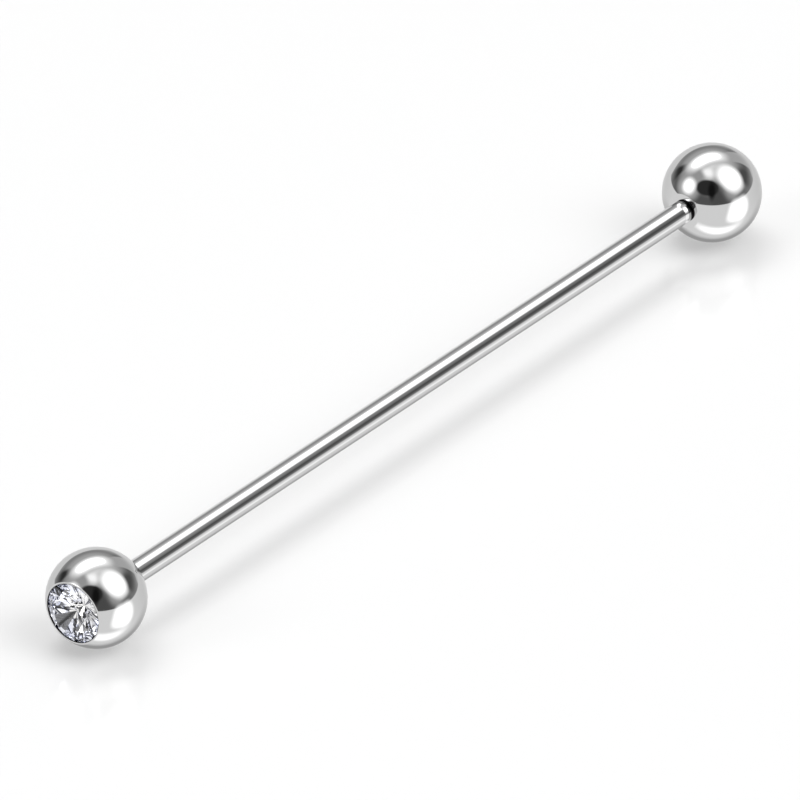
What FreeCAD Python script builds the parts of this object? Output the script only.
# Industrial barbell: a straight steel bar worn through two piercings of one ear.
# A ball is screwed on each end. One ball is plain, and the other is cut flat and holds a stone.
# Millimetres and degrees. The bar lies along X with the stone at its -X end, Z is up,
# and both balls rest on Z = 0. X = 0 is the middle of the whole length.
import FreeCAD, Part
import math
import os

# Driving dimensions of the bar
BAR_DIAMETER = 1.2
BETWEEN_BALLS = 45.2
SHOULDER_ROUNDING = 0.1
SHOULDER_GAP = 0.03

# Screw thread on both ends of the bar, cut as rings one pitch apart
THREAD_DIAMETER = 1.0
THREAD_ROOT_DIAMETER = 0.72
THREAD_PITCH = 0.25
THREAD_TURNS = 6
THREAD_NECK = 0.2
THREAD_TIP = 0.2

# The balls, which are bored alike
BALL_DIAMETER = 5.0
SEAT_DIAMETER = 1.8
BORE_DIAMETER = 1.04
BORE_DEPTH = 2.0
DRILL_POINT_ANGLE = 118.0

# The flat side of the jewelled ball, measured outwards from the ball's centre
LIP_HEIGHT = 1.87
LIP_ROUNDING = 0.08
LIP_EDGE_ROUNDING = 0.03
LIP_OPENING_DIAMETER = 3.1
POCKET_DIAMETER = 3.23
POCKET_ANGLE = 31.2
CULET_HOLE_DIAMETER = 0.5
CULET_HOLE_DEPTH = 0.2

# The stone, a round brilliant. Its girdle height is measured outwards from the ball's centre
STONE_DIAMETER = 3.2
STONE_GIRDLE_HEIGHT = 1.785
GIRDLE_THICKNESS = 0.1
TABLE_SHARE = 0.57
CROWN_ANGLE = 34.5
PAVILION_ANGLE = 30.0
STAR_SHARE = 0.5
LOWER_FACET_SHARE = 0.77
MAIN_FACETS = 8
STONE_TURN = 0.0
STONE_GAP = 0.02

# Every turned piece has its seam just beside the line underneath, where -90 degrees points down,
# so that a ball that is cut into 50 flats stands on the middle of a flat and not on an edge
FLATS = 50
SEAM_ANGLE = -90 - 180 / FLATS

BAR_RADIUS = BAR_DIAMETER / 2
BALL_RADIUS = BALL_DIAMETER / 2
SEAT_RADIUS = SEAT_DIAMETER / 2
BORE_RADIUS = BORE_DIAMETER / 2
STONE_RADIUS = STONE_DIAMETER / 2
TABLE_RADIUS = TABLE_SHARE * STONE_RADIUS
CROWN_HEIGHT = (STONE_RADIUS - TABLE_RADIUS) * math.tan(math.radians(CROWN_ANGLE))
PAVILION_DEPTH = STONE_RADIUS * math.tan(math.radians(PAVILION_ANGLE))

# A flat is faced round each ball's bore, and the bar's shoulder stops just short of it
SEAT_HEIGHT = math.sqrt(BALL_RADIUS**2 - SEAT_RADIUS**2)
CENTRE_TO_CENTRE = BETWEEN_BALLS + 2 * (SHOULDER_GAP + SEAT_HEIGHT)
STONE_REACH = STONE_GIRDLE_HEIGHT + CROWN_HEIGHT
WHOLE_LENGTH = STONE_REACH + CENTRE_TO_CENTRE + BALL_RADIUS
GEM_BALL_X = STONE_REACH - WHOLE_LENGTH / 2
PLAIN_BALL_X = WHOLE_LENGTH / 2 - BALL_RADIUS
BAR_X = (GEM_BALL_X + PLAIN_BALL_X) / 2

X_AXIS = FreeCAD.Vector(1, 0, 0)
Z_AXIS = FreeCAD.Vector(0, 0, 1)
ORIGIN = FreeCAD.Vector(0, 0, 0)


def at(along, radius):
    """A point of an outline: a distance along the bar's axis and one out from it."""
    return FreeCAD.Vector(along, radius, 0)


def line(start, end):
    return Part.LineSegment(start, end).toShape()


def arc(start, end, centre):
    """The shorter arc about a centre, from one point of an outline to the next."""
    radius = (start - centre).Length
    middle = (start + end) * 0.5 - centre
    on_arc = centre + middle * (radius / middle.Length)
    return Part.Arc(start, on_arc, end).toShape()


def turned(edges):
    """The solid that a closed outline sweeps when it turns about the bar's axis."""
    face = Part.Face(Part.Wire(edges))
    face.rotate(ORIGIN, X_AXIS, SEAM_ANGLE)
    return face.revolve(ORIGIN, X_AXIS, 360)


def chain(points):
    return [line(start, end) for start, end in zip(points, points[1:])]


def thread_points(shoulder):
    """Outline of one threaded end, from the bar's shoulder to the middle of its tip."""
    crest = THREAD_DIAMETER / 2
    root = THREAD_ROOT_DIAMETER / 2
    start = shoulder + THREAD_NECK
    points = [at(shoulder, root), at(start, root)]
    for turn in range(THREAD_TURNS):
        points.append(at(start + (turn + 0.5) * THREAD_PITCH, crest))
        points.append(at(start + (turn + 1) * THREAD_PITCH, root))
    end = start + THREAD_TURNS * THREAD_PITCH
    points.append(at(end + THREAD_TIP, root))
    points.append(at(end + THREAD_TIP, 0))
    return points


def make_bar():
    """The bar and its two threaded ends, turned from one rod, with its middle at the origin."""
    shoulder = BETWEEN_BALLS / 2
    straight = shoulder - SHOULDER_ROUNDING
    face = BAR_RADIUS - SHOULDER_ROUNDING
    thread = thread_points(shoulder)
    edges = [
        line(at(0, 0), at(0, BAR_RADIUS)),
        line(at(0, BAR_RADIUS), at(straight, BAR_RADIUS)),
        arc(at(straight, BAR_RADIUS), at(shoulder, face), at(straight, face)),
        line(at(shoulder, face), thread[0]),
    ]
    edges += chain(thread)
    edges.append(line(thread[-1], at(0, 0)))
    half = turned(edges)
    other_half = half.mirror(ORIGIN, X_AXIS)
    return half.fuse(other_half).removeSplitter()


def drill_point():
    """The deepest point of a ball's blind bore, measured from the ball's centre."""
    point = BORE_RADIUS / math.tan(math.radians(DRILL_POINT_ANGLE / 2))
    return at(BORE_DEPTH - SEAT_HEIGHT + point, 0)


def inner_half():
    """Outline of a ball's inner half, from its drilled point by the bore and seat to its waist."""
    seat_edge = at(-SEAT_HEIGHT, SEAT_RADIUS)
    bore_floor = at(BORE_DEPTH - SEAT_HEIGHT, BORE_RADIUS)
    bore_mouth = at(-SEAT_HEIGHT, BORE_RADIUS)
    edges = chain([drill_point(), bore_floor, bore_mouth, seat_edge])
    return edges + [arc(seat_edge, at(0, BALL_RADIUS), ORIGIN)]


def make_plain_ball():
    """The plain ball about its own centre, with its bore facing -X."""
    pole = at(BALL_RADIUS, 0)
    edges = inner_half()
    edges.append(arc(at(0, BALL_RADIUS), pole, ORIGIN))
    edges.append(line(pole, drill_point()))
    return turned(edges)


def make_gem_ball():
    """The jewelled ball about its own centre, with its bore facing -X and its stone's pocket +X."""
    # The rounding of the lip touches the ball from inside and tops out at the lip's height
    round_along = LIP_HEIGHT - LIP_ROUNDING
    round_out = math.sqrt((BALL_RADIUS - LIP_ROUNDING) ** 2 - round_along**2)
    rounding = at(round_along, round_out)
    leaves_ball = rounding * (BALL_RADIUS / rounding.Length)
    crest = at(LIP_HEIGHT, round_out)

    # Burnished over the stone, the lip ends in a thin edge with its underside along the crown
    opening = LIP_OPENING_DIAMETER / 2
    pocket = POCKET_DIAMETER / 2
    edge_along = LIP_HEIGHT - LIP_EDGE_ROUNDING
    edge_out = opening + LIP_EDGE_ROUNDING
    crown_slope = math.tan(math.radians(CROWN_ANGLE))
    under_edge = STONE_GIRDLE_HEIGHT + STONE_GAP + (STONE_RADIUS - opening) * crown_slope
    under_wall = under_edge - (pocket - opening) * crown_slope

    # The pocket narrows along the stone's lower side, to a small hole that clears its point
    slope = math.tan(math.radians(POCKET_ANGLE))
    hole = CULET_HOLE_DIAMETER / 2
    bearing = STONE_GIRDLE_HEIGHT - GIRDLE_THICKNESS - STONE_GAP
    narrow_end = bearing - (pocket - hole) * slope
    floor = narrow_end - CULET_HOLE_DEPTH

    edges = inner_half()
    edges.append(arc(at(0, BALL_RADIUS), leaves_ball, ORIGIN))
    edges.append(arc(leaves_ball, crest, rounding))
    edges.append(line(crest, at(LIP_HEIGHT, edge_out)))
    edges.append(arc(at(LIP_HEIGHT, edge_out), at(edge_along, opening), at(edge_along, edge_out)))
    inside = [
        at(edge_along, opening),
        at(under_edge, opening),
        at(under_wall, pocket),
        at(bearing, pocket),
        at(narrow_end, hole),
        at(floor, hole),
        at(floor, 0),
        drill_point(),
    ]
    edges += chain(inside)
    return turned(edges)


def ground(stone, angle, azimuth, height, out):
    """The stone with one facet ground on it.

    The facet leans by angle from the table's plane, looks towards azimuth, and passes through
    the point that is height along the axis and out from it in that direction.
    """
    lean = math.radians(angle)
    towards = math.radians(azimuth)
    across = FreeCAD.Vector(0, math.cos(towards), math.sin(towards))
    normal = X_AXIS * math.cos(lean) + across * math.sin(lean)
    point = X_AXIS * height + across * out
    size = 4 * STONE_RADIUS
    waste = Part.makeBox(size, size, size)
    waste.translate(FreeCAD.Vector(-size / 2, -size / 2, 0))
    waste.Placement = FreeCAD.Placement(point, FreeCAD.Rotation(Z_AXIS, normal)) * waste.Placement
    return stone.cut(waste)


def slope_angle(rise, run):
    return math.degrees(math.atan2(rise, run))


def make_stone():
    """A round brilliant on the X axis, with the top of its girdle at X = 0 and its table at +X."""
    step = 360 / MAIN_FACETS
    half_step = math.radians(step / 2)
    quarter_step = math.radians(step / 4)
    blank_depth = GIRDLE_THICKNESS + PAVILION_DEPTH
    blank = Part.makeCylinder(
        STONE_RADIUS, blank_depth + CROWN_HEIGHT, at(-blank_depth, 0), X_AXIS
    )

    # Star facets run from the table's edges to tips part of the way out, on the kite facets
    table_edge = TABLE_RADIUS * math.cos(half_step)
    star_tip = table_edge + STAR_SHARE * (STONE_RADIUS - table_edge)
    crown_slope = math.tan(math.radians(CROWN_ANGLE))
    star_tip_height = (STONE_RADIUS - star_tip * math.cos(half_step)) * crown_slope
    star_angle = slope_angle(CROWN_HEIGHT - star_tip_height, star_tip - table_edge)

    # Girdle facets pass through the star tips, or the lower tips, and two points of the girdle
    girdle_out = STONE_RADIUS * math.cos(quarter_step)
    upper_angle = slope_angle(star_tip_height, girdle_out - star_tip * math.cos(quarter_step))
    lower_tip = (1 - LOWER_FACET_SHARE) * STONE_RADIUS
    pavilion_slope = math.tan(math.radians(PAVILION_ANGLE))
    lower_tip_depth = (STONE_RADIUS - lower_tip * math.cos(half_step)) * pavilion_slope
    lower_angle = slope_angle(lower_tip_depth, girdle_out - lower_tip * math.cos(quarter_step))

    stone = blank
    for main in range(MAIN_FACETS):
        azimuth = STONE_TURN + main * step
        stone = ground(stone, CROWN_ANGLE, azimuth, 0, STONE_RADIUS)
        stone = ground(stone, star_angle, azimuth + step / 2, CROWN_HEIGHT, table_edge)
        stone = ground(stone, 180 - PAVILION_ANGLE, azimuth, -GIRDLE_THICKNESS, STONE_RADIUS)
        for side in (-1, 1):
            beside = azimuth + side * step / 4
            stone = ground(stone, upper_angle, beside, 0, girdle_out)
            stone = ground(stone, 180 - lower_angle, beside, -GIRDLE_THICKNESS, girdle_out)
    return stone


def outwards_to_gem(shape):
    """Turns a shape that faces +X round to the -X end of the barbell."""
    return shape.rotate(ORIGIN, Z_AXIS, 180)


def save(shape, node, x):
    """Moves a shape from the axis at the origin to its place, and writes it."""
    shape.translate(FreeCAD.Vector(x, 0, BALL_RADIUS))
    shape.exportStep("parts/" + node + ".step")
    box = shape.BoundBox
    print(f"{node}: valid {shape.isValid()}, {shape.Volume:.3f} mm3, {len(shape.Faces)} faces,"
          f" X {box.XMin:.3f} to {box.XMax:.3f}, Z {box.ZMin:.3f} to {box.ZMax:.3f}")


def main():
    os.makedirs("parts", exist_ok=True)
    stone = make_stone()
    stone.translate(at(STONE_GIRDLE_HEIGHT, 0))
    save(make_bar(), "bar", BAR_X)
    save(make_plain_ball(), "plain_ball", PLAIN_BALL_X)
    save(outwards_to_gem(make_gem_ball()), "gem_ball", GEM_BALL_X)
    save(outwards_to_gem(stone), "stone", GEM_BALL_X)


main()
